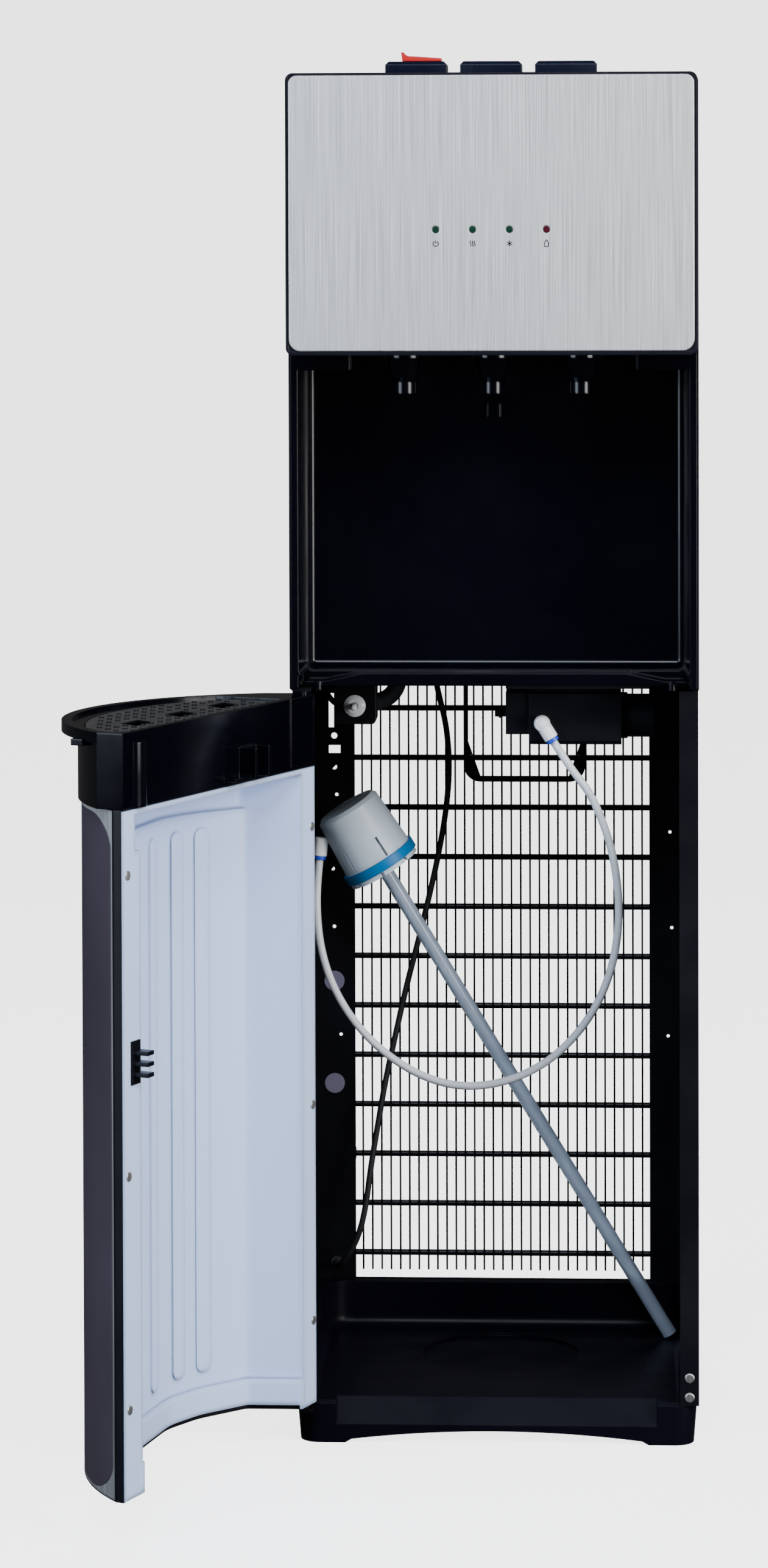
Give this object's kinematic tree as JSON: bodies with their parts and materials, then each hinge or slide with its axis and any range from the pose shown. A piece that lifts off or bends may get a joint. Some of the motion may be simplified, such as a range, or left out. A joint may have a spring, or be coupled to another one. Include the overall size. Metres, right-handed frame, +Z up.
{
  "type": "bottom load water cooler",
  "caption": "Free-standing water cooler with a bottle bay behind a bowed front door, a dispensing alcove with taps under a steel-faced head, press keys on top and a wire condenser at the back.",
  "frame": {"origin": "on the floor at the middle of the base, in the plane of the base's resting rim", "axes": "+Z up, +X to the right seen from the front, +Y to the back; the door is open 113 degrees at rest"},
  "size_m": [0.4809, 0.565, 1.0982],
  "materials": {
    "black_textured_plastic": "fine texture",
    "black_painted_steel": "satin black paint",
    "zinc_screw": "zinc plated",
    "pale_plug": "smooth",
    "gloss_black": "glossy",
    "brushed_plate": "vertical grain",
    "brushed_trim": "vertical grain",
    "lamp_lens": "translucent lens",
    "board_green": "printed board",
    "key_grey": "satin",
    "catch_red": "satin",
    "white_plastic": "smooth",
    "compressor_black": "black paint",
    "black_rubber": "matt",
    "copper_line": "drawn tube",
    "foam_white": "foam jacket",
    "tank_steel": "stainless",
    "galvanised": "galvanised sheet",
    "condenser_black": "black paint",
    "bracket_grey": "grey",
    "motor_black": "satin",
    "collet_blue": "smooth",
    "hose_white": "smooth polyethylene",
    "bezel_white": "glossy",
    "grey_pipe": "matt",
    "lead_black": "matt",
    "probe_translucent": "frosted translucent",
    "ring_blue": "smooth",
    "tube_clear": "clear",
    "rocker_green": "smooth",
    "rocker_red": "smooth",
    "dark_door_panel": "dark coated steel",
    "liner_white": "vacuum formed sheet"
  },
  "bodies": {
    "cabinet": {"base_tray": "black_textured_plastic", "left_side_panel": "black_painted_steel", "right_side_panel": "black_painted_steel", "pillar_screws": "zinc_screw", "rear_panel": "black_painted_steel", "flange_plugs": "pale_plug", "shelf_panel": "black_painted_steel", "hinge_plates": "black_painted_steel", "alcove_liner": "gloss_black", "head_housing": "black_textured_plastic", "head_front_plate": "brushed_plate", "status_lamps": "lamp_lens", "control_boards": "board_green", "top_cover": "black_textured_plastic", "taps": "gloss_black", "tap_valves": "white_plastic", "compressor": "compressor_black", "compressor_mounts": "black_rubber", "refrigerant_lines": "copper_line", "cold_tank": "foam_white", "hot_tank": "tank_steel", "tank_stands": "galvanised", "condenser_coil": "condenser_black", "condenser_wires": "condenser_black", "condenser_clips": "black_textured_plastic", "pump_bracket": "bracket_grey", "pump_body": "black_textured_plastic", "pump_motor": "motor_black", "pump_elbow": "white_plastic", "collet_rings": "collet_blue", "supply_hose": "hose_white", "switch_box": "black_textured_plastic", "switch_bezel": "bezel_white", "loop_pipe": "grey_pipe", "arc_hose": "grey_pipe", "rear_handle": "condenser_black", "black_lead": "lead_black", "lead_bushes": "black_rubber", "probe_cap": "probe_translucent", "probe_ring": "ring_blue", "probe_socket": "white_plastic", "dip_tube": "tube_clear", "latch_strike": "black_textured_plastic", "rocker_frames": "black_textured_plastic"},
    "door": {"door_shell": "black_textured_plastic", "door_steel_skin": "brushed_trim", "door_front_panel": "dark_door_panel", "door_liner": "liner_white", "liner_screws": "zinc_screw", "door_latch": "black_textured_plastic", "drip_housing": "gloss_black"},
    "drip_tray": {"drip_tray": "black_textured_plastic"},
    "drip_grille": {"drip_grille": "black_textured_plastic"},
    "hot_key": {"hot_key": "key_grey"},
    "room_key": {"room_key": "key_grey"},
    "cold_key": {"cold_key": "key_grey"},
    "child_lock": {"child_lock_catch": "catch_red"},
    "bottle_switch": {"switch_plunger": "bezel_white"},
    "cold_rocker": {"cold_rocker": "rocker_green"},
    "hot_rocker": {"hot_rocker": "rocker_red"}
  },
  "joints": [
    {"name": "door_hinge", "type": "hinge", "parent": "cabinet", "child": "door", "pos_m": [-0.15, -0.1365, 0.3], "axis": [0, 0, 1], "range_deg": [0, 113]},
    {"name": "drip_tray_lift", "type": "slide", "parent": "door", "child": "drip_tray", "axis": [0, 0, 1], "range_m": [0, 0.06]},
    {"name": "drip_grille_lift", "type": "slide", "parent": "drip_tray", "child": "drip_grille", "axis": [0, 0, 1], "range_m": [0, 0.05]},
    {"name": "hot_press", "type": "slide", "parent": "cabinet", "child": "hot_key", "axis": [0, 0, -1], "range_m": [0, 0.005], "stiffness_N_per_m": 300, "springref_m": -0.003},
    {"name": "room_press", "type": "slide", "parent": "cabinet", "child": "room_key", "axis": [0, 0, -1], "range_m": [0, 0.005], "stiffness_N_per_m": 300, "springref_m": -0.003},
    {"name": "cold_press", "type": "slide", "parent": "cabinet", "child": "cold_key", "axis": [0, 0, -1], "range_m": [0, 0.005], "stiffness_N_per_m": 300, "springref_m": -0.003},
    {"name": "child_lock_slide", "type": "slide", "parent": "hot_key", "child": "child_lock", "axis": [1, 0, 0], "range_m": [0, 0.004]},
    {"name": "bottle_switch_press", "type": "slide", "parent": "cabinet", "child": "bottle_switch", "axis": [0, 1, 0], "range_m": [0, 0.005], "stiffness_N_per_m": 80, "springref_m": -0.004},
    {"name": "cold_rocker_tip", "type": "hinge", "parent": "cabinet", "child": "cold_rocker", "pos_m": [-0.034, 0.124, 0.98], "axis": [1, 0, 0], "range_deg": [0, 12]},
    {"name": "hot_rocker_tip", "type": "hinge", "parent": "cabinet", "child": "hot_rocker", "pos_m": [0, 0.124, 0.98], "axis": [1, 0, 0], "range_deg": [0, 12]}
  ]
}
